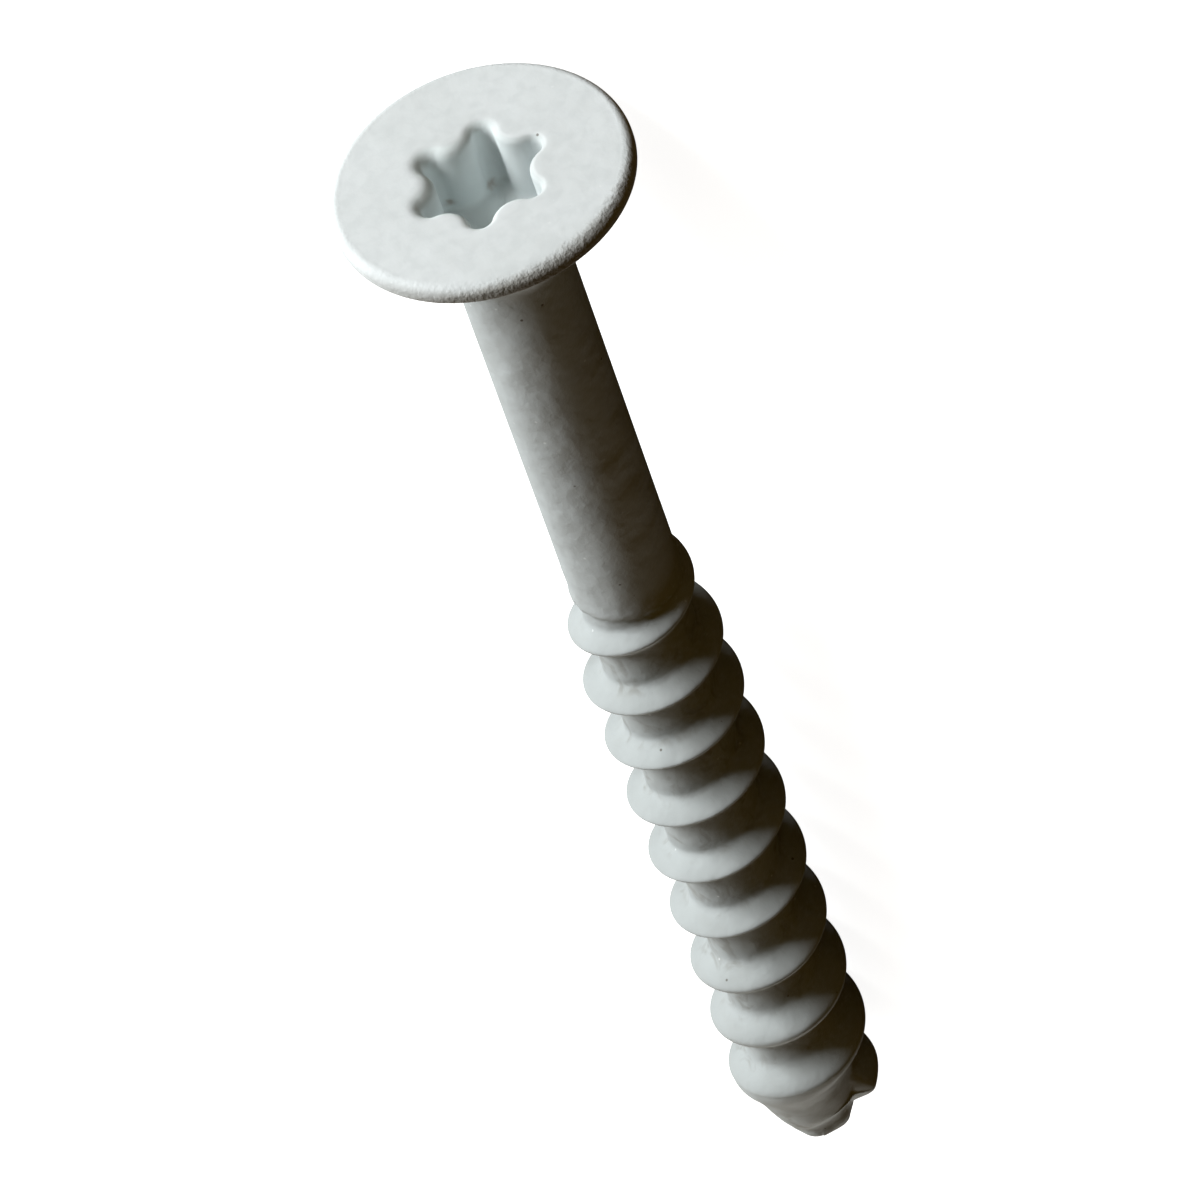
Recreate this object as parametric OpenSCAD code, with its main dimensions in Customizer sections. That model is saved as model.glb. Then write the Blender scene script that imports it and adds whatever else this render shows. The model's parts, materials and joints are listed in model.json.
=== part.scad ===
// Countersunk concrete screw: a flat round head with a six-lobe drive recess,
// a plain shank, and a single right-hand ridge thread that runs to a blunt point.
// Millimetres. The screw lies on its head's edge and its last thread crest, along X.

/* [Head] */
// Diameter of the head
head_d = 12.6; // [11.5:0.1:14]
// Radius that rounds the face into the edge of the head
head_edge_r = 0.45; // [0.2:0.05:0.6]
// Distance from the face to where the countersink begins
head_land = 0.65; // [0.6:0.05:1]
// Included angle of the countersink
countersink_angle = 90; // [82:1:100]
// Radius of the neck where the countersink meets the shank
neck_r = 1.2; // [0.4:0.1:2]

/* [Drive recess] */
// Diameter across the tips of the six lobes
recess_d = 5.6; // [5:0.1:6]
// Diameter across the six inner bumps
recess_inner_d = 3.95; // [3.4:0.05:4.2]
// Radius of a lobe's tip
lobe_r = 0.46; // [0.35:0.01:0.5]
// Radial distance left between the lobes' tips and the countersink at the bottom of the walls
recess_wall = 0.75; // [0.5:0.05:1.5]
// Depth of the cone below the walls
recess_cone = 0.4; // [0.2:0.1:0.8]
// Turn of the first lobe about the axis
recess_turn = 14.6; // [0:0.1:59.9]

/* [Shank] */
// Diameter of the plain shank
shank_d = 4.85; // [4.6:0.05:5.2]
// Distance from the face to the end of the plain shank
shank_end = 25.35; // [20:0.05:35]
// Radius that rounds the end of the plain shank
shank_edge_r = 0.25; // [0.1:0.05:0.3]

/* [Thread] */
// Diameter over the thread's crests
thread_d = 6.75; // [6.2:0.05:7.2]
// Diameter of the core between the crests
root_d = 4.5; // [3.8:0.05:4.5]
// Distance from one crest to the next
pitch = 3.94; // [3.4:0.02:4.4]
// Width of the flat on a crest
crest_w = 0.32; // [0.1:0.02:0.4]
// Length of the flank that faces the head
upper_flank = 0.6; // [0.5:0.05:1.2]
// Length of the flank that faces the point
lower_flank = 0.85; // [0.6:0.05:1]
// How far before the shank's end the ridge begins, inside the shank
thread_lead_in = 3.05; // [2.4:0.05:3.6]
// Length over which the ridge climbs most of the way from the core to its full height
thread_climb = 3.55; // [2.5:0.05:4.5]
// How far the ridge's first turn lies past the helix of the others
first_shift = 0.55; // [0:0.05:0.7]
// Turn about the axis at which the ridge begins
thread_turn = 36; // [0:1:359]

/* [Point] */
// Length from the head's face to the end of the point
screw_length = 63.5; // [55:0.5:76]
// Diameter of the point's end over the corners between its flats
point_end_d = 3; // [2.6:0.02:3.4]
// Included angle of the point
point_angle = 37.6; // [32:0.2:46]
// Distance from the axis to each flat at the point's end
end_flat_r = 1.27; // [1.1:0.01:1.4]
// Length along the axis over which the flats cut the point
end_flat_l = 2.1; // [1.5:0.1:2.4]
// Turn of the first flat about the axis
end_flat_turn = -10.7; // [-36:0.1:36]
// Distance from the end of the point to the cut end of the ridge
ridge_setback = 2.73; // [2:0.01:4]
// Depth of the dent below the cut end of the ridge
dent_depth = 0.35; // [0:0.05:0.4]
// How much lower the ridge is just before its cut end
last_dip = 0.3; // [0:0.05:0.4]

/* [Rest] */
// Turn about the axis of the side that lies on the ground
down_turn = 225; // [0:1:359]

/* [Hidden] */

// Sides of a full circle
round_sides = 96;
// Steps in one turn of the thread
turn_steps = 32;
// Small overlap that keeps joined and cut solids clear of shared faces
overlap = 0.2;

head_r = head_d / 2;
shank_r = shank_d / 2;
thread_r = thread_d / 2;
root_r = root_d / 2;

// Countersink: from the land's edge to the shank, then the neck's arc
cone_half = countersink_angle / 2;
cone_end = head_land + (head_r - shank_r) / tan(cone_half);
neck_tangent = neck_r * tan(cone_half / 2);
neck_centre = [shank_r + neck_r, cone_end + neck_tangent];
neck_top = [shank_r + neck_tangent * sin(cone_half), cone_end - neck_tangent * cos(cone_half)];

// Recess: walls down to where the countersink comes near, and circles that make the inner bumps,
// tangent to the lobes' circles
recess_depth = head_land + (head_r - recess_d / 2 - recess_wall) / tan(cone_half);
lobe_count = 6;
lobe_step = 360 / lobe_count;
lobe_centre = recess_d / 2 - lobe_r;
bump_r = bump_radius(lobe_centre, lobe_r, recess_inner_d / 2, lobe_step / 2);
bump_centre = recess_inner_d / 2 + bump_r;

// Helix: z of a crest after a number of turns, and the turns that the first shift and the climb take
thread_start = shank_end - thread_lead_in;
ridge_end = (screw_length - ridge_setback - thread_start) / pitch;
first_turn = -0.1;
last_turn = ridge_end + 1.4;
shift_from = 0.9;
shift_to = 3;
climb_power = 1.1;

// Parts of a turn that shape the point, counted from the ridge's cut end
groove_full = ridge_end - 1.11;
groove_gone = ridge_end - 0.61;
dip_turn = ridge_end - 0.24;
dip_half = 0.15;
drop_from = ridge_end - 0.6;
drop_to = ridge_end - 0.2;
drop_share = 1 / 3;
dent_from = ridge_end - 0.35;
dent_deepest = ridge_end - 0.1;
dent_fades = ridge_end + 0.14;
dent_to = ridge_end + 0.36;
dent_offset = 1.15;
dent_half = 0.95;
cut_turn = 0.02;
thinnest_r = 0.3;

// Flats of the point's end: each leans so that it runs out on the point's cone
flat_count = 5;
flat_angle = atan((point_end_d / 2 - end_flat_r) / end_flat_l + tan(point_angle / 2));
flat_reach = end_flat_l / cos(flat_angle);

// Two bends of a flank: [share of its length from the crest, share of the ridge's height]
brow = [0.3, 0.68];
foot = [0.7, 0.14];

// Thread section over one pitch: [distance from the crest's middle, share of the ridge's height]
section = [
    [-pitch / 2, 0],
    [-crest_w / 2 - upper_flank, 0],
    [-crest_w / 2 - foot[0] * upper_flank, foot[1]],
    [-crest_w / 2 - brow[0] * upper_flank, brow[1]],
    [-crest_w / 2, 1],
    [crest_w / 2, 1],
    [crest_w / 2 + brow[0] * lower_flank, brow[1]],
    [crest_w / 2 + foot[0] * lower_flank, foot[1]],
    [crest_w / 2 + lower_flank, 0]
];
rows = len(section);

// Rest: the ground touches the land's lower edge and the last crest of full height on that side
down_share = (down_turn - thread_turn) / 360;
rest_turn = floor(drop_from - down_share) + down_share;
rest_tilt = atan((head_r - thread_r) / (crest_z(rest_turn) - head_land));
axis_height = head_land * sin(rest_tilt) + head_r * cos(rest_tilt);
back_reach = (head_r - head_edge_r) * sin(rest_tilt) + head_edge_r * (1 - cos(rest_tilt));
front_reach = screw_length * cos(rest_tilt) + point_end_d / 2 * sin(rest_tilt);
axis_shift = (back_reach - front_reach) / 2;

// Radius of a bump's circle that passes the inner diameter and touches the lobe's circle
function bump_radius(c, l, i, half) =
    (c * c + i * i - 2 * c * i * cos(half) - l * l) / (2 * (l - i + c * cos(half)));

function smooth(from, to, x) =
    let (u = max(0, min(1, (x - from) / (to - from))))
    u * u * (3 - 2 * u);

function crest_z(turn) = thread_start + pitch * turn + first_shift * (1 - smooth(shift_from, shift_to, turn));

// The ridge's crest climbs from the core, out of the shank, and is level until it dips before its cut end
function crest_radius(turn) =
    let (climbed = pow(pitch * max(0, turn) / thread_climb, climb_power))
    let (dip = 1 - smooth(0, dip_half, abs(turn - dip_turn)) + drop_share * smooth(drop_from, drop_to, turn))
    thread_r - (thread_r - root_r) * exp(-climbed) - last_dip * dip;

function point_radius(z) =
    max(thinnest_r, point_end_d / 2 + (screw_length - z) * tan(point_angle / 2));

// The groove grows shallow towards the point, until the point's cone fills it
function core_radius(groove_turn, z) =
    let (cone = point_radius(z), filled = smooth(groove_full, groove_gone, groove_turn))
    min(cone, root_r + (min(cone, thread_r) - root_r) * filled);

function dent(turn, offset) =
    dent_depth * smooth(dent_from, dent_deepest, turn) * (1 - smooth(dent_fades, dent_to, turn))
    * (1 - smooth(0, dent_half, abs(offset - dent_offset)));

function thread_radius(turn, offset, share) =
    let (z = crest_z(turn) + offset)
    let (core = core_radius(offset > 0 ? turn : turn - 1, z))
    let (ridge = 1 - smooth(ridge_end - cut_turn, ridge_end + cut_turn, turn))
    max(thinnest_r, core + max(0, crest_radius(turn) - core) * share * ridge - dent(turn, offset));

function thread_point(step, row) =
    let (turn = first_turn + step / turn_steps, offset = section[row][0], angle = thread_turn + 360 * turn)
    let (r = thread_radius(turn, offset, section[row][1]))
    [r * cos(angle), r * sin(angle), crest_z(turn) + offset];

module head_profile() {
    polygon([
        [0, 0],
        [head_r - head_edge_r, 0],
        [head_r - head_edge_r, head_edge_r],
        [head_r, head_edge_r],
        [head_r, head_land],
        [shank_r, cone_end],
        [0, cone_end]
    ]);
    translate([head_r - head_edge_r, head_edge_r]) circle(r = head_edge_r, $fn = round_sides);
}

module neck_profile() {
    difference() {
        polygon([
            [shank_r - overlap, neck_top[1]],
            neck_top,
            neck_centre,
            [shank_r - overlap, neck_centre[1]]
        ]);
        translate(neck_centre) circle(r = neck_r, $fn = round_sides);
    }
}

module shank_profile() {
    square([shank_r - shank_edge_r, shank_end]);
    square([shank_r, shank_end - shank_edge_r]);
    translate([shank_r - shank_edge_r, shank_end - shank_edge_r]) circle(r = shank_edge_r, $fn = round_sides);
}

module head_and_shank() {
    rotate_extrude($fn = round_sides) {
        head_profile();
        neck_profile();
        shank_profile();
    }
}

module recess_outline() {
    difference() {
        circle(r = lobe_centre, $fn = round_sides);
        for (i = [0 : lobe_count - 1])
            rotate((i + 0.5) * lobe_step) translate([bump_centre, 0]) circle(r = bump_r, $fn = round_sides);
    }
    for (i = [0 : lobe_count - 1])
        rotate(i * lobe_step) translate([lobe_centre, 0]) circle(r = lobe_r, $fn = round_sides);
}

module drive_recess() {
    rotate(recess_turn) intersection() {
        translate([0, 0, -overlap]) linear_extrude(recess_depth + recess_cone + overlap) recess_outline();
        union() {
            translate([0, 0, -overlap])
                cylinder(d = recess_d + overlap, h = recess_depth + overlap, $fn = round_sides);
            translate([0, 0, recess_depth])
                cylinder(d1 = recess_d + overlap, d2 = 0, h = recess_cone, $fn = round_sides);
        }
    }
}

// One closed strip wound round the axis: each turn's last row is the next turn's first row
module threaded_end() {
    steps = floor((last_turn - first_turn) * turn_steps);
    points = [for (step = [0 : steps], row = [0 : rows - 1]) thread_point(step, row)];
    top = len(points);
    bottom = top + 1;
    ends = [[0, 0, crest_z(first_turn)], [0, 0, crest_z(first_turn + steps / turn_steps)]];
    last = steps - turn_steps;
    walls = [
        for (step = [0 : steps - 1], row = [0 : rows - 1])
            let (wraps = row == rows - 1)
            let (next = wraps ? (step + turn_steps) * rows : step * rows + row + 1)
            if (!wraps || step < last) each [
                [step * rows + row, next, (step + 1) * rows + row],
                [(step + 1) * rows + row, next, next + rows]
            ]
    ];
    top_fan = [
        for (step = [0 : turn_steps - 1]) [top, step * rows, (step + 1) * rows],
        for (row = [0 : rows - 1])
            let (next = row == rows - 1 ? turn_steps * rows : row + 1)
            [top, next, row]
    ];
    bottom_fan = [
        for (step = [last : steps - 1]) [bottom, (step + 1) * rows + rows - 1, step * rows + rows - 1],
        for (row = [0 : rows - 2]) [bottom, steps * rows + row, steps * rows + row + 1],
        [bottom, last * rows + rows - 1, steps * rows]
    ];
    difference() {
        polyhedron(concat(points, ends), concat(walls, top_fan, bottom_fan), convexity = 10);
        translate([-thread_d, -thread_d, screw_length]) cube([2 * thread_d, 2 * thread_d, 3 * pitch]);
        end_flats();
    }
}

// Blocks that cut the flats: each stands on its flat, from just past the point's end
module end_flats() {
    for (i = [0 : flat_count - 1])
        rotate(end_flat_turn + i * 360 / flat_count)
            translate([end_flat_r, 0, screw_length])
            rotate([0, -flat_angle, 0])
            translate([0, -point_end_d, -flat_reach])
            cube([point_end_d, 2 * point_end_d, flat_reach + point_end_d]);
}

module lay_down() {
    translate([axis_shift, 0, axis_height]) rotate([0, 90 + rest_tilt, 0]) rotate(-down_turn) children();
}

module concrete_screw() {
    color("gainsboro") lay_down() difference() {
        union() {
            head_and_shank();
            threaded_end();
        }
        drive_recess();
    }
}

concrete_screw();
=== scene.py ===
"""A pale coated concrete screw, lying on a white studio floor.

The screw is one closed surface in its own frame: millimetres, z from the head's face to the point.
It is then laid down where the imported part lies, and every later length is in metres.
"""
import json
import math

import bpy
import numpy as np
from mathutils import Matrix, Vector


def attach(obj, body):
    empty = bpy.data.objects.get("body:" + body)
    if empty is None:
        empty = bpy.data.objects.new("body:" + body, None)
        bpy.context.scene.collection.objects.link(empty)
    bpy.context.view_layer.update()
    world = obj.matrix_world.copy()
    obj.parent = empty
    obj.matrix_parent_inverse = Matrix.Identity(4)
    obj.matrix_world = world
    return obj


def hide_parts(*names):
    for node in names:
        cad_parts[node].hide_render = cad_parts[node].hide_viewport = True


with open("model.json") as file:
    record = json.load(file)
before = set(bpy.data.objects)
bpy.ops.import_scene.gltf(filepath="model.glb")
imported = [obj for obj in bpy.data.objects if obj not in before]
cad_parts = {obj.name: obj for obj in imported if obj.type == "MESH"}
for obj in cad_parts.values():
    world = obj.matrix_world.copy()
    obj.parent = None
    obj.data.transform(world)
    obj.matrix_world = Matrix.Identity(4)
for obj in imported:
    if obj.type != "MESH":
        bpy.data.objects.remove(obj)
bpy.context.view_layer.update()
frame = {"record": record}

# Head and drive recess, in millimetres and degrees
HEAD_R = 6.3
HEAD_EDGE_R = 0.45
EDGE_IN = 0.42
EDGE_MORE = 0.3
EDGE_MORE_AT = -15.0
EDGE_MORE_POWER = 5
HEAD_LAND = 0.65
CONE_HALF = 45.0
NECK_R = 1.2
LAND_EDGE_R = 0.12
RECESS_R = 2.8
RECESS_INNER_R = 1.975
LOBE_R = 0.46
LOBES = 6
RECESS_DEPTH = 3.4
RECESS_CONE = 0.4
RECESS_TURN = 14.6
MOUTH_R = 0.3
MOUTH_MORE = 0.32
MOUTH_MORE_AT = 110.0
MOUTH_MORE_POWER = 2
RECESS_FLOOR_R = 0.25

# Shank, with a soft lip before its rounded end
SHANK_R = 2.425
SHANK_END = 25.35
SHANK_STEP = 0.25
SHANK_CUT = 0.4
LIP = 0.06
LIP_AT = 25.0
LIP_HALF = 0.5
THREAD_JOIN = 0.06

# Ridge thread: its climb out of the shank, its first turns' shift and its flanks
THREAD_R = 3.31
FIRST_CREST_MORE = 0.09
FIRST_CREST_FROM = 2.0
FIRST_CREST_TO = 3.4
ROOT_R = 2.25
PITCH = 3.94
THREAD_START = 22.3
THREAD_TURN = 36.0
THREAD_CLIMB = 3.55
CLIMB_POWER = 1.1
FIRST_SHIFT = 0.55
SHIFT_FROM = 0.9
SHIFT_TO = 3.0
CREST_ROUND = 0.16
CREST_ROUND_MORE = 0.65
ROUND_FROM = 5.5
ROUND_TO = 9.6
UPPER_FLANK = 0.5
LOWER_FLANK = 0.75
FOOT_SOFT = 0.15
FOOT_SOFT_MORE = 0.25

# Point, with flats pinched into its end
LENGTH = 63.5
POINT_END_R = 1.5
POINT_HALF = 18.8
END_ROUND = 0.15
END_FLATS = 5
END_FLAT_R = 1.36
END_FLAT_TURN = -10.7
END_FLAT_RISE = 0.45
FLAT_SOFT = 0.1

# Where the ridge ends beside the point, in turns from its start, and how it sinks before that
RIDGE_SETBACK = 2.73
RIDGE_END = (LENGTH - RIDGE_SETBACK - THREAD_START) / PITCH
GROOVE_FULL = RIDGE_END - 1.11
GROOVE_GONE = RIDGE_END - 0.61
CUT_TURN = 0.02
LAST_DROP = 0.1
DROP_FROM = RIDGE_END - 0.6
DROP_TO = RIDGE_END - 0.2
LAST_DIP = 0.3
DIP_TURN = RIDGE_END - 0.24
DIP_HALF = 0.15
DENT_DEPTH = 0.28
DENT_TURNS = (RIDGE_END - 0.35, RIDGE_END - 0.1, RIDGE_END + 0.14, RIDGE_END + 0.36)
DENT_BELOW = 1.15
DENT_HALF = 1.15

# How the screw lies, and how its threaded end leans from the shank's line
DOWN_TURN = 225.0
LEAN = 0.27
LEAN_FROM = 27.0
LEAN_TO = 55.0
LEAN_BACK = 0.29
BACK_FROM = 57.0

# Camera in the screw's own frame: where it stands, what it aims at, and the screw's slant in the picture
CAMERA_AT = (231.816, 0.0, -226.169)
CAMERA_AIM = (0.0, 1.37, 25.98)
CAMERA_SLANT = 20.181
CAMERA_LENS = 243.47
CAMERA_SENSOR = 36.0
CAMERA_CLIP = (0.01, 20.0)

# Light: soft lamps round the screw, a dim warm fill, and a floor that glows to the camera.
# Each lamp: its name, azimuth and elevation in degrees, distance from what it aims at and size in metres,
# level and colour.
COOL = (0.965, 1.0, 1.0)
WARM = (1.0, 0.96, 0.9)
LAMPS = (
    ("key_lamp", 220.0, 30.0, 0.45, 0.24, 1.1, COOL),
    ("side_lamp", 236.0, 9.0, 0.45, 0.12, 0.3, COOL),
    ("back_lamp", 335.0, 28.0, 0.45, 0.2, 0.22, WARM),
    ("neck_lamp", 12.0, 7.0, 0.45, 0.09, 0.07, WARM),
)
POINT_LAMP = ("point_lamp", -8.0, 12.0, 0.1, 0.06, 0.4, WARM)
POINT_LAMP_AIM = (0.0318, 0.0, 0.003)
FILL_COLOUR = (0.042, 0.024, 0.004, 1)
WHITE = (1, 1, 1, 1)
PAPER = (0.8, 0.8, 0.8, 1)
FLOOR_GLOW = 0.92
FLOOR_BOUNCE = (0.06, 0.04, 0.015, 1)
FLOOR_HALF = 2.0

# Grid of the surface: columns round the axis, rows of each stretch of the head and the point
COLUMNS = 192
RECESS_FLOOR_ROWS = 9
RECESS_FLOOR_ARC_ROWS = 6
WALL_ROWS = 12
MOUTH_ROWS = 8
FACE_ROWS = 15
EDGE_ROWS = 12
LAND_ARC_ROWS = 6
CONE_ROWS = 12
NECK_ARC_ROWS = 12
SHANK_ROWS = 40
END_ARC_ROWS = 5
END_ROWS = 8

# Grid of the thread: rows across one turn, where it starts, how its rows crowd, and how close points are one
STRIP_ROWS = 31
STRIP_FIRST_COLUMN = 40
STRIP_CROWDING = 0.8
WELDS_A_MM = 2000

# A millimetre in metres
MM = 0.001

# Coating: colours of its clouds and greys, of the recess's lining and of marks, and of painted light and
# shade
PALE = (0.82, 0.85, 0.865, 1)
CLOUD = (0.79, 0.82, 0.83, 1)
GREY = (0.555, 0.588, 0.598, 1)
THREAD_GREY = (0.515, 0.545, 0.55, 1)
BLOTCH = (0.46, 0.48, 0.475, 1)
# Groove colour: dirt in the grooves, and painted shade where the ridges shadow them
GROOVE_SHADE_AND_DIRT = (0.27, 0.26, 0.235, 1)
# Recess lining: bluish zinc, lighter than the coat as painted light, and a grey for its lit side as painted
# shade
LIGHTENED_LINING = (0.89, 0.955, 0.96, 1)
SHADED_LINING = (0.63, 0.67, 0.675, 1)
RUST = (0.3, 0.2, 0.13, 1)
# Rim colour: dirt, and also painted shade along the rim's lower edge
RIM_DIRT_AND_SHADE = (0.17, 0.14, 0.1, 1)
SOOT = (0.1, 0.075, 0.05, 1)
CHALK = (0.9, 0.92, 0.93, 1)

# Coating: how much of what lies under it each mark hides
FINE_CLOUD_SHARE = 0.2
BLOTCH_SHARE = 0.4
# The next two: the grooves' dirt and painted shade, and the painted shade along the rim's lower edge
GROOVE_SHADE_SHARE = 0.5
RIM_SHADE_SHARE = 0.35
DIRT_SHARE = 0.45
LINING_SHARE = 0.8
CHALK_SHARE = 0.5
SOOT_SHARE = 0.7
RUST_SHARE = 0.55

# Coating: zones by radius and by depth below the face, each from where it is absent to where it is full
RIM_RADII = (5.7, 6.05)
RIM_DEPTHS = (1.1, 0.7)
RECESS_RADII = (3.05, 2.75)
RECESS_DEPTHS = (0.15, 1.0)
RECESS_BOTTOM = (3.95, 3.85)
MOUTH_RADII = (3.8, 3.5)
MOUTH_DEPTHS = (0.0, 0.08)
MOUTH_BOTTOM = (1.4, 1.0)
BELOW_DEPTHS = (1.2, 4.4)
THREAD_DEPTHS = (24.5, 28.0)
GROOVE_RADII = (2.8, 2.4)
GROOVE_DEPTHS = (26.0, 28.0)

# Coating: ragged dirt on the rim, painted shade along the rim's lower edge, and painted shade on the lining's
# lit side, each towards a side of the screw
DIRT_SIDE = (0.82, -0.57, 0.0)
DIRT_TILT = 0.25
DIRT_RAGGED = 0.9
DIRT_REACH = (7.45, 8.15)
DIRT_BOTTOM = (0.8, 0.7)
# Painted shade along the rim's lower edge: its side, how far it reaches round, and its reach over the edge
RIM_SHADE_SIDE = (0.98, 0.17, 0.0)
RIM_SHADE_WAY = (3.0, 6.0)
RIM_SHADE_REACH = (6.05, 6.6)
# Painted shade on the lining: the lamp-lit side it greys, and how it fades in
LINING_SHADE_SIDE = (-0.17, -0.98, 0.0)
LINING_SHADE_WAY = (0.6, 2.0)

# Coating: noises, each with its clouds a millimetre, detail and distortion; a stretch of some is spread out
CLOUDS = (0.32, 3.0, 0.8)
CLOUD_STRETCH = (0.35, 0.7)
FINE_CLOUDS = (1.5, 2.0, 0.4)
FINE_CLOUD_STRETCH = (0.35, 0.75)
BLOTCHES = (0.55, 4.0, 0.7)
BLOTCH_STRETCH = (0.45, 0.75)
# Patches of the grooves' dirt and painted shade
GROOVE_SHADE_PATCHES = (1.0, 4.0, 0.8)
GROOVE_SHADE_STRETCH = (0.48, 0.72)
RAGGED = (2.2, 4.0, 0.6)
SWELL = (0.3, 1.0, 0.0)
PEEL = (1.1, 1.0, 0.0)
PITS = (3.0, 3.0, 0.5)
GRAIN = (6.0, 2.0, 0.0)

# Coating: heights of its relief in millimetres, everywhere and what each zone adds
SWELL_HEIGHT = 0.05
SWELL_BELOW = 0.25
PEEL_HEIGHT = 0.02
PEEL_BELOW = 0.05
PITS_BELOW = 0.02
GRAIN_HEIGHT = 0.004
GRAIN_RIM = 0.025
GRAIN_DIRT = 0.05

# Coating: its gloss, its specks, each with cells a millimetre, size and share of the cells,
# and its rust spots, each with its place and size
ROUGHNESS = 0.5
CLOUD_ROUGHNESS = 0.1
CHALK_SPECKS = (1.1, 0.08, 0.4)
SOOT_SPECKS = (0.9, 0.08, 0.3)
SPECK_CORE = 0.5
RUST_SPOTS = (((-2.55, -0.24, 3.2), 0.32), ((-2.07, 1.51, 2.95), 0.3), ((-1.4, 2.0, 3.4), 0.3))
RUST_RAGGED = 1.6
RUST_EDGE = 2.0
RUST_CORE = 0.8


def smooth(low, high, x):
    """0 below low, 1 above high, and the cubic 3u^2 - 2u^3 between them."""
    u = np.clip((x - low) / (high - low), 0, 1)
    return u * u * (3 - 2 * u)


def soft_max(a, b, width):
    """The larger of a and b, with the corner between them filled over about that width."""
    return 0.5 * (a + b + np.sqrt((a - b) ** 2 + width ** 2))


def column_angles():
    """Angles of the columns, in radians, from the first lobe of the recess once round."""
    return np.radians(RECESS_TURN) + np.linspace(0, 2 * np.pi, COLUMNS + 1)


def ring(radius, z):
    """A closed circle of columns: radius times (cos, sin) of each column's angle, at height z."""
    angle = column_angles()
    radius = np.broadcast_to(radius, angle.shape)
    return np.stack([radius * np.cos(angle), radius * np.sin(angle), np.full_like(angle, z)], -1)


def recess_outline(growth):
    """The six-lobe outline grown outwards by growth, one point a column.

    Each sector runs from a lobe's middle to the next: half a lobe's arc, a bump's arc that touches
    both lobes, and half an arc again. Points are spread evenly along the outline that isn't grown.
    """
    half = math.pi / LOBES
    lobe_c = RECESS_R - LOBE_R
    bump_r = (lobe_c ** 2 + RECESS_INNER_R ** 2 - 2 * lobe_c * RECESS_INNER_R * math.cos(half) - LOBE_R ** 2)
    bump_r /= 2 * (LOBE_R - RECESS_INNER_R + lobe_c * math.cos(half))
    bump_c = RECESS_INNER_R + bump_r
    towards = math.atan2(bump_c * math.sin(half), bump_c * math.cos(half) - lobe_c)
    bump_half = towards - half
    lobe_len = LOBE_R * towards
    bump_len = bump_r * 2 * bump_half
    per_lobe = COLUMNS // LOBES
    column = np.arange(COLUMNS + 1)
    along = column % per_lobe / per_lobe * (2 * lobe_len + bump_len)
    sector = column // per_lobe * 2 * half + math.radians(RECESS_TURN)
    first = along < lobe_len
    last = along > lobe_len + bump_len
    lobe_angle = np.where(last, (along - 2 * lobe_len - bump_len) / LOBE_R, along / LOBE_R)
    bump_angle = half + math.pi + bump_half - (along - lobe_len) / bump_r
    turn = np.where(last, 2 * half, 0.0)
    lobe_x = lobe_c + (LOBE_R + growth) * np.cos(lobe_angle)
    lobe_y = (LOBE_R + growth) * np.sin(lobe_angle)
    bump_x = bump_c * math.cos(half) + (bump_r - growth) * np.cos(bump_angle)
    bump_y = bump_c * math.sin(half) + (bump_r - growth) * np.sin(bump_angle)
    on_lobe = first | last
    x = np.where(on_lobe, lobe_x * np.cos(turn) - lobe_y * np.sin(turn), bump_x)
    y = np.where(on_lobe, lobe_x * np.sin(turn) + lobe_y * np.cos(turn), bump_y)
    return np.stack([x * np.cos(sector) - y * np.sin(sector), x * np.sin(sector) + y * np.cos(sector)], -1)


def at_depth(outline, z):
    """An outline as a row of points at height z, one for all or one each."""
    return np.concatenate([outline, np.broadcast_to(z, len(outline))[:, None]], 1)


def raised(centre, power):
    """A power of a raised cosine of each column's angle: 1 at centre, 0 opposite."""
    return (0.5 + 0.5 * np.cos(column_angles() - math.radians(centre))) ** power


def mouth_radius():
    """Radius of the recess's rounded mouth in each column, larger on one side."""
    return MOUTH_R + MOUTH_MORE * raised(MOUTH_MORE_AT, MOUTH_MORE_POWER)


def recess_rows():
    """Rows from the middle of the recess's floor, up its walls and over its rounded mouth."""
    floor_outline = recess_outline(-RECESS_FLOOR_R)
    shares = np.linspace(0, 1, RECESS_FLOOR_ROWS)
    rows = [at_depth(floor_outline * s, RECESS_DEPTH + RECESS_CONE * (1 - s)) for s in shares]
    for a in np.linspace(0, np.pi / 2, RECESS_FLOOR_ARC_ROWS)[1:]:
        growth = -RECESS_FLOOR_R * (1 - np.sin(a))
        rows.append(at_depth(recess_outline(growth), RECESS_DEPTH - RECESS_FLOOR_R * (1 - np.cos(a))))
    mouth = mouth_radius()
    for s in np.linspace(0, 1, WALL_ROWS)[1:]:
        rows.append(at_depth(recess_outline(0.0), (RECESS_DEPTH - RECESS_FLOOR_R) * (1 - s) + mouth * s))
    for a in np.linspace(0, np.pi / 2, MOUTH_ROWS)[1:]:
        rows.append(at_depth(recess_outline(mouth * (1 - np.cos(a))), mouth * (1 - np.sin(a))))
    return rows


def edge_inset():
    """How far in from the rim each column's rounding starts, larger on one side."""
    return EDGE_IN + EDGE_MORE * raised(EDGE_MORE_AT, EDGE_MORE_POWER)


def edge_rows():
    """Rows of the rounded edge between the face and the land: a quarter of an ellipse in each column."""
    turns = np.linspace(0, np.pi / 2, EDGE_ROWS)[1:]
    return [ring(HEAD_R - edge_inset() * (1 - np.sin(a)), HEAD_EDGE_R * (1 - np.cos(a))) for a in turns]


def face_rows():
    """Rows of the flat face: straight lines from the mouth's outline to the circle where the edge begins."""
    mouth = recess_outline(mouth_radius())
    edge = ring(HEAD_R - edge_inset(), 0.0)[:, :2]
    return [at_depth(mouth + (edge - mouth) * s, 0.0) for s in np.linspace(0, 1, FACE_ROWS)[1:]]


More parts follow.
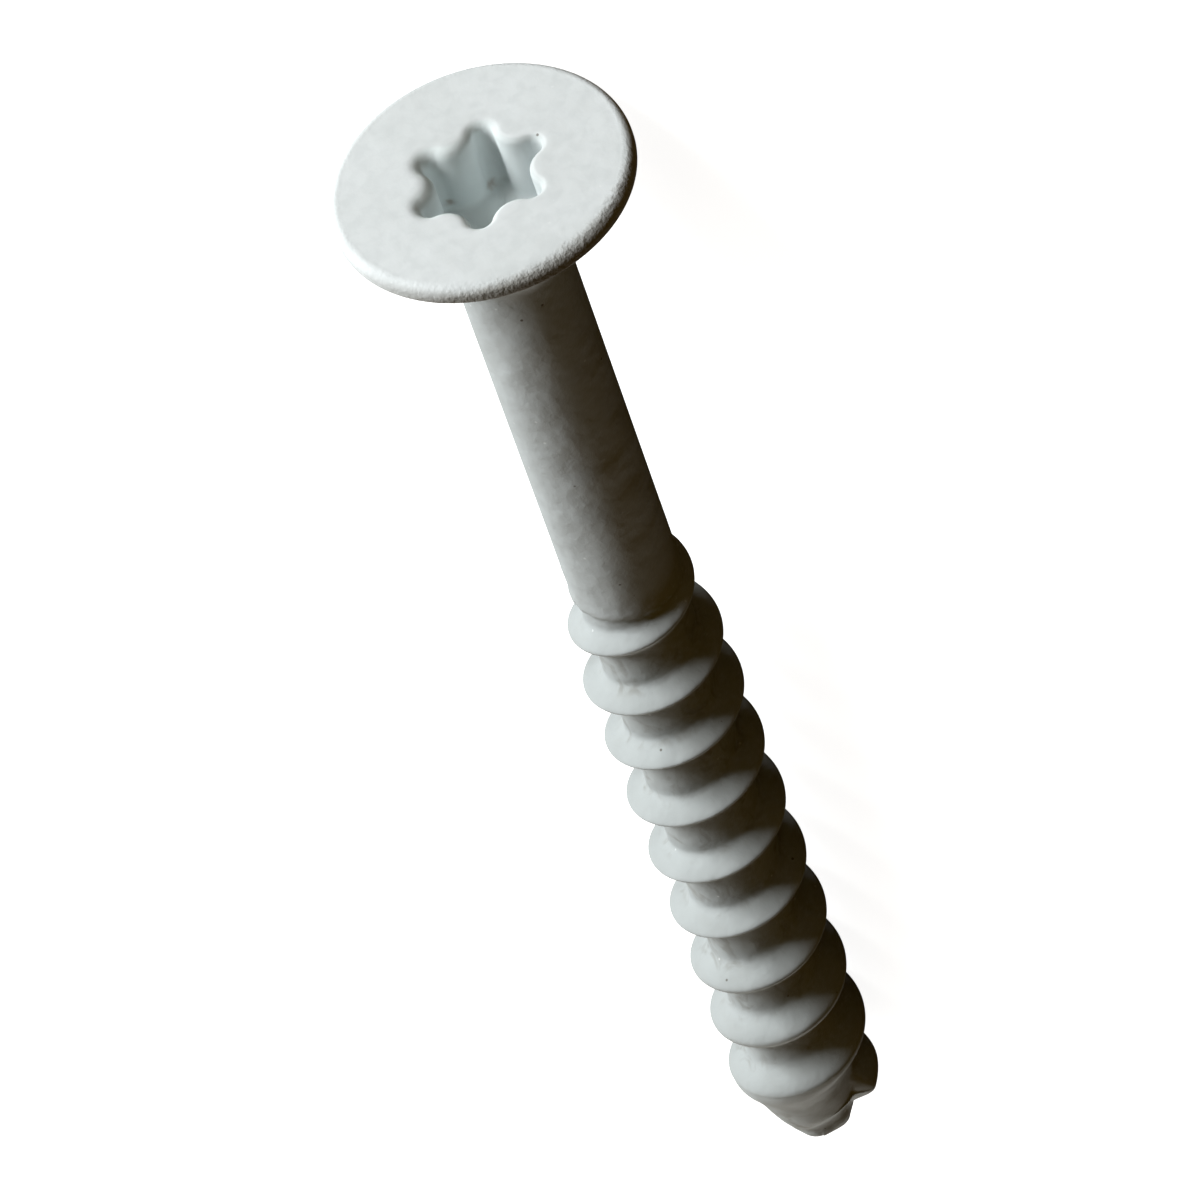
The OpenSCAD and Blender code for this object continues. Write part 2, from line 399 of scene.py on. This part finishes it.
def rounded(corner, before, after, radius, steps):
    """Points (r, z) of an arc that rounds the corner between the lines to before and after."""
    corner, before, after = (np.array(p, float) for p in (corner, before, after))
    u = (before - corner) / np.linalg.norm(before - corner)
    v = (after - corner) / np.linalg.norm(after - corner)
    half = math.acos(np.clip(u @ v, -1, 1)) / 2
    centre = corner + (u + v) / np.linalg.norm(u + v) * radius / math.sin(half)
    start = corner + u * radius / math.tan(half) - centre
    end = corner + v * radius / math.tan(half) - centre
    sweep = math.pi - 2 * half
    s = np.linspace(0, 1, steps)[:, None]
    return centre + (start * np.sin((1 - s) * sweep) + end * np.sin(s * sweep)) / math.sin(sweep)


def head_rows(shank_row_end):
    """Rows that turn a profile round the axis: land, countersink, neck, and shank down to a height."""
    cone_end = HEAD_LAND + (HEAD_R - SHANK_R) / math.tan(math.radians(CONE_HALF))
    edge = (HEAD_R, HEAD_EDGE_R)
    land = (HEAD_R, HEAD_LAND)
    neck = (SHANK_R, cone_end)
    end = (SHANK_R, shank_row_end)
    land_arc = rounded(land, edge, neck, LAND_EDGE_R, LAND_ARC_ROWS)
    neck_arc = rounded(neck, land, end, NECK_R, NECK_ARC_ROWS)
    cone = land_arc[-1] + (neck_arc[0] - land_arc[-1]) * np.linspace(0, 1, CONE_ROWS)[1:-1, None]
    shank = neck_arc[-1] + (np.array(end) - neck_arc[-1]) * np.linspace(0, 1, SHANK_ROWS)[1:, None]
    return [ring(r, z) for r, z in np.concatenate([land_arc, cone, neck_arc, shank])]


def strip_turns():
    """Turns of the thread's strip, one step a column.

    It starts at a column on the shank. Its upper edge lies half a turn above its crest, so it ends half a
    turn after its crest comes to the point's end ring.
    """
    step = 1 / COLUMNS
    first = (RECESS_TURN - THREAD_TURN) / 360 + STRIP_FIRST_COLUMN * step - 1
    last = (LENGTH - END_ROUND - THREAD_START) / PITCH + 0.5
    count = math.ceil((last - first) / step)
    return first + step * np.arange(count + 1)


def crest_height(turn):
    """Height of the crest: a helix, with the first turns pushed a little towards the point."""
    return THREAD_START + PITCH * turn + FIRST_SHIFT * (1 - smooth(SHIFT_FROM, SHIFT_TO, turn))


def strip_edge(turn, top, bottom):
    """Height of the strip's upper edge: midway between two crests, kept between two level rings."""
    return np.clip((crest_height(turn - 1) + crest_height(turn)) / 2, top, bottom)


def ridge_share(turn, offset):
    """Share of the ridge's height at a distance from its crest: a hyperbola's top and straight flanks.

    The distance past the top is sqrt(offset^2 + c^2) - c, and the flanks meet the core by a soft maximum.
    Both grow softer towards the point.
    """
    soft = smooth(ROUND_FROM, ROUND_TO, turn)
    c = CREST_ROUND + CREST_ROUND_MORE * soft
    flank = np.where(offset < 0, UPPER_FLANK, LOWER_FLANK)
    past = np.sqrt(offset ** 2 + c ** 2) - c
    return soft_max(1 - past / flank, 0.0, FOOT_SOFT + FOOT_SOFT_MORE * soft)


def point_radius(turn, z):
    """Radius of the point: a cone, cut near its end by flats that slope outwards from the end."""
    step = 2 * np.pi / END_FLATS
    from_flat = np.mod(2 * np.pi * turn + np.radians(THREAD_TURN - END_FLAT_TURN) + step / 2, step) - step / 2
    flat = (END_FLAT_R + END_FLAT_RISE * (LENGTH - z)) / np.cos(from_flat)
    cone = POINT_END_R + (LENGTH - z) * math.tan(math.radians(POINT_HALF))
    return -soft_max(-cone, -flat, FLAT_SOFT)


def crest_radius(turn):
    """Radius of the crest: it climbs from the core as 1 - exp(-(length / climb)^power).

    The first turns are a little higher. Before its end it dips and drops.
    """
    climbed = (PITCH * np.maximum(turn, 0) / THREAD_CLIMB) ** CLIMB_POWER
    dip = LAST_DIP * (1 - smooth(0, DIP_HALF, np.abs(turn - DIP_TURN)))
    drop = LAST_DROP * smooth(DROP_FROM, DROP_TO, turn)
    first = FIRST_CREST_MORE * (1 - smooth(FIRST_CREST_FROM, FIRST_CREST_TO, turn))
    return THREAD_R + first - (THREAD_R + first - ROOT_R) * np.exp(-climbed) - dip - drop


def dent_depth(turn, offset):
    """Depth of the hollow under the ridge's cut end: a smooth bump across the turns and along the axis."""
    deepens, deep, fades, gone = DENT_TURNS
    across = smooth(deepens, deep, turn) * (1 - smooth(fades, gone, turn))
    return DENT_DEPTH * across * (1 - smooth(0, DENT_HALF, np.abs(offset - DENT_BELOW)))


def thread_radius(turn, z):
    """Radius of the shank, the thread and the point at a turn and a height.

    Between crests lies the core, which the point's cone limits and at last fills. The shank's rounded
    end is joined by a soft maximum.
    """
    offset = z - crest_height(turn)
    cone = point_radius(turn, z)
    filled = smooth(GROOVE_FULL, GROOVE_GONE, np.where(offset > 0, turn, turn - 1))
    core = np.minimum(cone, ROOT_R + (np.minimum(cone, THREAD_R) - ROOT_R) * filled)
    ridge = 1 - smooth(RIDGE_END - CUT_TURN, RIDGE_END + CUT_TURN, turn)
    height = np.maximum(0, crest_radius(turn) - core) * ridge_share(turn, offset) * ridge
    thread = core + height - dent_depth(turn, offset)
    shank = SHANK_R + LIP * (1 - smooth(0, LIP_HALF, np.abs(z - LIP_AT)))
    shank = shank - (SHANK_R - ROOT_R + SHANK_CUT) * smooth(SHANK_END - SHANK_STEP, SHANK_END + SHANK_STEP, z)
    return np.where(z < SHANK_END + SHANK_STEP, soft_max(thread, shank, THREAD_JOIN), thread)


def thread_strip(top, bottom):
    """The threaded end as one strip wound round the axis, shape (steps, rows, 3).

    Each turn's last row is the next turn's first row. The first and last turns taper to nothing,
    so that the strip starts on one level ring of the shank and ends on one level ring of the point.
    Rows crowd towards the crest, by a sine of their share.
    """
    turn = strip_turns()
    upper = strip_edge(turn, top, bottom)
    lower = strip_edge(turn + 1, top, bottom)
    share = np.linspace(0, 1, STRIP_ROWS)
    share = share + STRIP_CROWDING * np.sin(2 * np.pi * share) / (2 * np.pi)
    z = upper[:, None] + (lower - upper)[:, None] * share
    radius = thread_radius(turn[:, None], z)
    radius = np.where(z <= top + 1 / WELDS_A_MM, SHANK_R, radius)
    angle = np.radians(THREAD_TURN) + 2 * np.pi * turn[:, None] + 0 * z
    points = np.stack([radius * np.cos(angle), radius * np.sin(angle), z], -1)
    points[:-COLUMNS, -1] = points[COLUMNS:, 0]
    return points


def grid_triangles(first, rows, columns):
    """Triangles of a grid whose points are numbered row by row from first, facing col x row."""
    index = first + np.arange(rows * columns).reshape(rows, columns)
    a, b = index[:-1, :-1], index[:-1, 1:]
    c, d = index[1:, 1:], index[1:, :-1]
    return np.concatenate([np.stack([a, b, c], -1).reshape(-1, 3), np.stack([a, c, d], -1).reshape(-1, 3)])


def welded(grids):
    """One mesh from grids of points: points closer than a weld are one, and triangles without area go."""
    triangles = []
    first = 0
    for grid in grids:
        triangles.append(grid_triangles(first, grid.shape[0], grid.shape[1]))
        first += grid.shape[0] * grid.shape[1]
    points = np.concatenate([grid.reshape(-1, 3) for grid in grids])
    key = np.round(points * WELDS_A_MM).astype(np.int64)
    _, keep, same = np.unique(key, axis=0, return_index=True, return_inverse=True)
    triangles = same.reshape(-1)[np.concatenate(triangles)]
    real = (triangles[:, 0] != triangles[:, 1]) & (triangles[:, 1] != triangles[:, 2])
    real &= triangles[:, 2] != triangles[:, 0]
    return points[keep], triangles[real]


def end_rows(strip, bottom):
    """Rows that close the point: from the strip's last ring, over a small rounding, to the axis."""
    last = strip[-COLUMNS - 1:, -1, :2]
    arc = np.linspace(0, np.pi / 2, END_ARC_ROWS)
    scales = 1 - END_ROUND / POINT_END_R * (1 - np.cos(arc))
    rows = [at_depth(last * s, bottom + END_ROUND * np.sin(a)) for s, a in zip(scales, arc)]
    rows += [at_depth(last * scales[-1] * s, LENGTH) for s in np.linspace(1, 0, END_ROWS)[1:]]
    return np.stack(rows)


def screw_surface():
    """Points and triangles of the whole screw in its own frame, its threaded end leaning sideways."""
    first = strip_turns()[0]
    top = (crest_height(first) + crest_height(first + 1)) / 2
    bottom = LENGTH - END_ROUND
    head = np.stack(recess_rows() + face_rows() + edge_rows() + head_rows(top))
    strip = thread_strip(top, bottom)
    end = end_rows(strip, bottom)
    points, triangles = welded([head, strip.transpose(1, 0, 2), end])
    z = points[:, 2:]
    lean = LEAN * smooth(LEAN_FROM, LEAN_TO, z) - LEAN_BACK * smooth(BACK_FROM, LENGTH, z)
    sideways = math.radians(DOWN_TURN + 90)
    points[:, :2] += lean * np.array([math.cos(sideways), math.sin(sideways)])
    return points, triangles


def screw_axes():
    """The screw's own frame in the room: the face's middle, in metres, and its x, y and z axes as rows.

    The part's record gives the face's middle and its outward direction. The side at DOWN_TURN is down.
    """
    mount = next(m for m in frame["record"]["mounts"] if m["name"] == "drive_recess")
    along = -np.array(mount["axis"], float)
    along /= np.linalg.norm(along)
    down = np.array([0.0, 0.0, -1.0])
    down -= (down @ along) * along
    down /= np.linalg.norm(down)
    side = np.cross(along, down)
    turn = math.radians(DOWN_TURN)
    x_axis = math.cos(turn) * down - math.sin(turn) * side
    y_axis = math.sin(turn) * down + math.cos(turn) * side
    return np.array(mount["pos_m"]), np.stack([x_axis, y_axis, along])


def laid_down(points):
    """Points of the screw's own frame, in millimetres, as points of the room, in metres."""
    origin, axes = screw_axes()
    return origin + MM * np.asarray(points) @ axes


def make_screw():
    """The screw's object: the welded surface, smooth shaded, at the origin with its place in its mesh.

    The attribute own keeps each point's place in the screw's own frame, for the coating.
    """
    points, triangles = screw_surface()
    mesh = bpy.data.meshes.new("screw")
    mesh.from_pydata(laid_down(points).tolist(), [], triangles.tolist())
    mesh.shade_smooth()
    own = mesh.attributes.new("own", "FLOAT_VECTOR", "POINT")
    own.data.foreach_set("vector", points.astype(np.float32).ravel())
    mesh.materials.append(coating_material())
    screw = bpy.data.objects.new("coated_screw", mesh)
    bpy.context.scene.collection.objects.link(screw)
    return screw


def add_node(tree, kind, inputs=None, **settings):
    """A node of that kind with its settings; inputs maps a socket's name or number to a value or a link."""
    made = tree.nodes.new(kind)
    for name, value in settings.items():
        setattr(made, name, value)
    for socket, value in (inputs or {}).items():
        if isinstance(value, bpy.types.NodeSocket):
            tree.links.new(value, made.inputs[socket])
        else:
            made.inputs[socket].default_value = value
    return made


def worked_out(tree, operation, a, b=0.0):
    """The result of a math node."""
    return add_node(tree, "ShaderNodeMath", {0: a, 1: b}, operation=operation).outputs[0]


def product(tree, *values):
    """All the values multiplied together."""
    whole = values[0]
    for value in values[1:]:
        whole = worked_out(tree, "MULTIPLY", whole, value)
    return whole


def total(tree, *values):
    """All the values added together."""
    whole = values[0]
    for value in values[1:]:
        whole = worked_out(tree, "ADD", whole, value)
    return whole


def between(tree, value, low, high):
    """0 at low, 1 at high and smooth between them; low may be the larger."""
    inputs = {"Value": value, "From Min": low, "From Max": high}
    return add_node(tree, "ShaderNodeMapRange", inputs, interpolation_type="SMOOTHSTEP").outputs[0]


def noise(tree, place, scale, detail, distortion):
    """Cloudy noise from 0 to 1, with that many clouds a millimetre."""
    inputs = {"Vector": place, "Scale": scale, "Detail": detail, "Distortion": distortion}
    return add_node(tree, "ShaderNodeTexNoise", inputs).outputs[0]


def specks(tree, place, scale, size, share):
    """Round specks of a size, one at most in each cell, in that share of the cells; 1 inside a speck."""
    cells = add_node(tree, "ShaderNodeTexVoronoi", {"Vector": place, "Scale": scale})
    chance = add_node(tree, "ShaderNodeSeparateColor", {0: cells.outputs["Color"]}).outputs[0]
    chosen = worked_out(tree, "LESS_THAN", chance, share)
    inside = between(tree, cells.outputs["Distance"], size * scale, size * scale * SPECK_CORE)
    return product(tree, inside, chosen)


def blended(tree, share, first, second):
    """A colour between first, at share 0, and second, at share 1."""
    return add_node(tree, "ShaderNodeMix", {0: share, 6: first, 7: second}, data_type="RGBA").outputs[2]


def seen_directly(tree):
    """1 for rays that show the background: from the camera, and through or off a shiny surface."""
    path = add_node(tree, "ShaderNodeLightPath")
    seen = path.outputs["Is Camera Ray"]
    for name in ("Is Glossy Ray", "Is Transmission Ray"):
        seen = worked_out(tree, "MAXIMUM", seen, path.outputs[name])
    return seen


def vector_math(tree, operation, first, second=(0, 0, 0), output="Value"):
    """The result of a vector math node."""
    return add_node(tree, "ShaderNodeVectorMath", {0: first, 1: second}, operation=operation).outputs[output]


def patches(tree, own, kind, stretch):
    """Noise of a kind, with a stretch of its values spread from 0 to 1 and the rest flat."""
    return between(tree, noise(tree, own, *kind), *stretch)


def coating_places(tree):
    """Places on the screw in its own frame: the point, its depth below the face and its radius."""
    own = add_node(tree, "ShaderNodeAttribute", attribute_name="own").outputs["Vector"]
    depth = add_node(tree, "ShaderNodeSeparateXYZ", {0: own}).outputs["Z"]
    across = vector_math(tree, "MULTIPLY", own, (1, 1, 0), "Vector")
    return own, depth, vector_math(tree, "LENGTH", across)


def coating_zones(tree, depth, radius):
    """Masks of the rim, of the recess with its rounded mouth, and of all below the head."""
    rim = product(tree, between(tree, radius, *RIM_RADII), between(tree, depth, *RIM_DEPTHS))
    inside = product(tree, between(tree, radius, *RECESS_RADII), between(tree, depth, *RECESS_BOTTOM))
    walls = product(tree, inside, between(tree, depth, *RECESS_DEPTHS))
    mouth = product(tree, between(tree, radius, *MOUTH_RADII), between(tree, depth, *MOUTH_DEPTHS))
    mouth = product(tree, mouth, between(tree, depth, *MOUTH_BOTTOM))
    recess = worked_out(tree, "MAXIMUM", walls, mouth)
    below = product(tree, between(tree, depth, *BELOW_DEPTHS), worked_out(tree, "SUBTRACT", 1.0, inside))
    return rim, recess, below


def rim_dirt_and_shade_masks(tree, own, depth, radius, ragged):
    """Masks of the ragged dirt and of the painted shade along the rim's lower edge.

    The sum of radius and depth grows over the edge. The dirt starts where that sum, tilted towards its side
    and made ragged by noise, is large. The painted shade starts at a plain sum and fades away from its side.
    """
    over_edge = total(tree, radius, depth)
    above = between(tree, depth, *DIRT_BOTTOM)
    tilt = product(tree, vector_math(tree, "DOT_PRODUCT", own, DIRT_SIDE), DIRT_TILT)
    reach = total(tree, over_edge, tilt, product(tree, ragged, DIRT_RAGGED))
    dirt = product(tree, between(tree, reach, *DIRT_REACH), above)
    # The painted shade: darker along the rim's lower edge
    rim_shade_way = vector_math(tree, "DOT_PRODUCT", own, RIM_SHADE_SIDE)
    rim_shade = product(tree, between(tree, over_edge, *RIM_SHADE_REACH), between(tree, rim_shade_way, *RIM_SHADE_WAY), above)
    return dirt, rim_shade


def rust_spot(tree, own, ragged, place, size):
    """Mask of a ragged spot: full near its place, and gone at a distance that noise makes smaller."""
    away = total(tree, vector_math(tree, "DISTANCE", own, place), product(tree, ragged, size * RUST_RAGGED))
    return between(tree, away, size * RUST_EDGE, size * RUST_CORE)


def recess_lining(tree, own):
    """Colour of the recess's lining: bluish zinc, lighter than the coat as painted light, and greyer towards
    its lamp-lit side as painted shade.
    """
    shade_way = vector_math(tree, "DOT_PRODUCT", own, LINING_SHADE_SIDE)
    return blended(tree, between(tree, shade_way, *LINING_SHADE_WAY), LIGHTENED_LINING, SHADED_LINING)


def coating_material():
    """A pale satin coating with soft clouds, an uneven skin and a few specks.

    It is greyer below the head and on the thread, darker in the grooves with dirt and painted shade, bluish
    with rust spots in the recess, whose lining is lighter than the coat as painted light and greyer on its
    lit side as painted shade, and grainy and dirty along the rim, with painted shade along its lower edge.
    """
    material = bpy.data.materials.new("pale_coating")
    material.use_nodes = True
    tree = material.node_tree
    shader = tree.nodes["Principled BSDF"]
    own, depth, radius = coating_places(tree)
    rim, recess, below = coating_zones(tree, depth, radius)
    ragged = noise(tree, own, *RAGGED)
    dirt, rim_shade = rim_dirt_and_shade_masks(tree, own, depth, radius, ragged)
    clouds = patches(tree, own, CLOUDS, CLOUD_STRETCH)
    groove = product(tree, between(tree, radius, *GROOVE_RADII), between(tree, depth, *GROOVE_DEPTHS))

    layers = [
        (patches(tree, own, FINE_CLOUDS, FINE_CLOUD_STRETCH), FINE_CLOUD_SHARE, GREY),
        (below, 1.0, GREY),
        (between(tree, depth, *THREAD_DEPTHS), 1.0, THREAD_GREY),
        (product(tree, below, patches(tree, own, BLOTCHES, BLOTCH_STRETCH)), BLOTCH_SHARE, BLOTCH),
        # dirt and painted shade in the grooves
        (product(tree, groove, patches(tree, own, GROOVE_SHADE_PATCHES, GROOVE_SHADE_STRETCH)), GROOVE_SHADE_SHARE, GROOVE_SHADE_AND_DIRT),
        # painted shade along the rim's lower edge
        (rim_shade, RIM_SHADE_SHARE, RIM_DIRT_AND_SHADE),
        (dirt, DIRT_SHARE, RIM_DIRT_AND_SHADE),
        # bluish lining, lightened as painted light and greyed on its lit side as painted shade
        (recess, LINING_SHARE, recess_lining(tree, own)),
        (specks(tree, own, *CHALK_SPECKS), CHALK_SHARE, CHALK),
        (specks(tree, own, *SOOT_SPECKS), SOOT_SHARE, SOOT),
    ]
    layers += [(rust_spot(tree, own, ragged, *spot), RUST_SHARE, RUST) for spot in RUST_SPOTS]
    colour = blended(tree, clouds, PALE, CLOUD)
    for mask, share, over in layers:
        colour = blended(tree, product(tree, mask, share), colour, over)
    tree.links.new(colour, shader.inputs["Base Color"])

    roughness = total(tree, product(tree, clouds, CLOUD_ROUGHNESS), ROUGHNESS)
    tree.links.new(roughness, shader.inputs["Roughness"])
    shader.inputs["Specular IOR Level"].default_value = 0.0

    reliefs = (
        (SWELL, total(tree, product(tree, below, SWELL_BELOW), SWELL_HEIGHT)),
        (PEEL, total(tree, product(tree, below, PEEL_BELOW), PEEL_HEIGHT)),
        (PITS, product(tree, below, PITS_BELOW)),
        (GRAIN, total(tree, product(tree, rim, GRAIN_RIM), product(tree, dirt, GRAIN_DIRT), GRAIN_HEIGHT)),
    )
    height = total(tree, *[product(tree, noise(tree, own, *kind), high) for kind, high in reliefs])
    bump = add_node(tree, "ShaderNodeBump", {"Height": height, "Distance": MM})
    tree.links.new(bump.outputs[0], shader.inputs["Normal"])
    return material


def floor_material():
    """White to what sees it directly, and darker in the screw's shadow; dim in the light it throws back."""
    material = bpy.data.materials.new("floor_paper")
    material.use_nodes = True
    tree = material.node_tree
    tree.nodes.remove(tree.nodes["Principled BSDF"])
    paper = add_node(tree, "ShaderNodeBsdfDiffuse", {"Color": PAPER})
    glow = add_node(tree, "ShaderNodeEmission", {"Color": WHITE, "Strength": FLOOR_GLOW})
    shown = add_node(tree, "ShaderNodeAddShader", {0: paper.outputs[0], 1: glow.outputs[0]})
    dim = add_node(tree, "ShaderNodeBsdfDiffuse", {"Color": FLOOR_BOUNCE})
    sides = {0: seen_directly(tree), 1: dim.outputs[0], 2: shown.outputs[0]}
    mix = add_node(tree, "ShaderNodeMixShader", sides)
    tree.links.new(mix.outputs[0], tree.nodes["Material Output"].inputs["Surface"])
    return material


def make_floor():
    """A level square of paper under the screw."""
    h = FLOOR_HALF
    mesh = bpy.data.meshes.new("floor")
    mesh.from_pydata([(-h, -h, 0), (h, -h, 0), (h, h, 0), (-h, h, 0)], [], [(0, 1, 2, 3)])
    mesh.materials.append(floor_material())
    floor = bpy.data.objects.new("floor", mesh)
    bpy.context.scene.collection.objects.link(floor)
    return floor


def light_world():
    """A dim warm fill, white where it is seen directly."""
    world = bpy.data.worlds.new("studio")
    bpy.context.scene.world = world
    world.use_nodes = True
    tree = world.node_tree
    fill = tree.nodes["Background"]
    fill.inputs["Color"].default_value = FILL_COLOUR
    white = add_node(tree, "ShaderNodeBackground", {"Color": WHITE})
    sides = {0: seen_directly(tree), 1: fill.outputs[0], 2: white.outputs[0]}
    mix = add_node(tree, "ShaderNodeMixShader", sides)
    tree.links.new(mix.outputs[0], tree.nodes["World Output"].inputs["Surface"])


def make_lamp(aim, name, azimuth, elevation, distance, size, level, colour):
    """A square lamp that faces aim. At level 1 a white surface that faces it there renders white."""
    azimuth, elevation = math.radians(azimuth), math.radians(elevation)
    outwards = math.cos(elevation)
    towards = Vector((outwards * math.cos(azimuth), outwards * math.sin(azimuth), math.sin(elevation)))
    data = bpy.data.lights.new(name, "AREA")
    data.size = size
    data.energy = level * (math.pi * distance) ** 2
    data.color = colour
    lamp = bpy.data.objects.new(name, data)
    lamp.location = Vector(aim) + distance * towards
    lamp.rotation_euler = towards.to_track_quat("Z", "Y").to_euler()
    bpy.context.scene.collection.objects.link(lamp)


def make_camera():
    """A camera that sees the screw's axis slant by CAMERA_SLANT from the picture's upright."""
    forward = np.array(CAMERA_AIM) - np.array(CAMERA_AT)
    forward /= np.linalg.norm(forward)
    axis_seen = np.array([0.0, 0.0, 1.0]) - forward[2] * forward
    axis_seen /= np.linalg.norm(axis_seen)
    across = np.cross(axis_seen, forward)
    slant = math.radians(CAMERA_SLANT)
    right = math.cos(slant) * across + math.sin(slant) * axis_seen
    up = np.cross(right, forward)
    turned = np.stack([right, up, -forward]) @ screw_axes()[1]
    data = bpy.data.cameras.new("camera")
    data.sensor_width = CAMERA_SENSOR
    data.lens = CAMERA_LENS
    data.clip_start, data.clip_end = CAMERA_CLIP
    camera = bpy.data.objects.new("camera", data)
    camera.matrix_world = Matrix.Translation(laid_down(CAMERA_AT)) @ Matrix(turned.T.tolist()).to_4x4()
    bpy.context.scene.collection.objects.link(camera)
    bpy.context.scene.camera = camera


screw = make_screw()
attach(screw, "root")
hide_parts("concrete_screw")
floor = make_floor()
light_world()
for lamp in LAMPS:
    make_lamp((0, 0, 0), *lamp)
make_lamp(POINT_LAMP_AIM, *POINT_LAMP)
make_camera()

bpy.context.scene.view_settings.view_transform = "Standard"
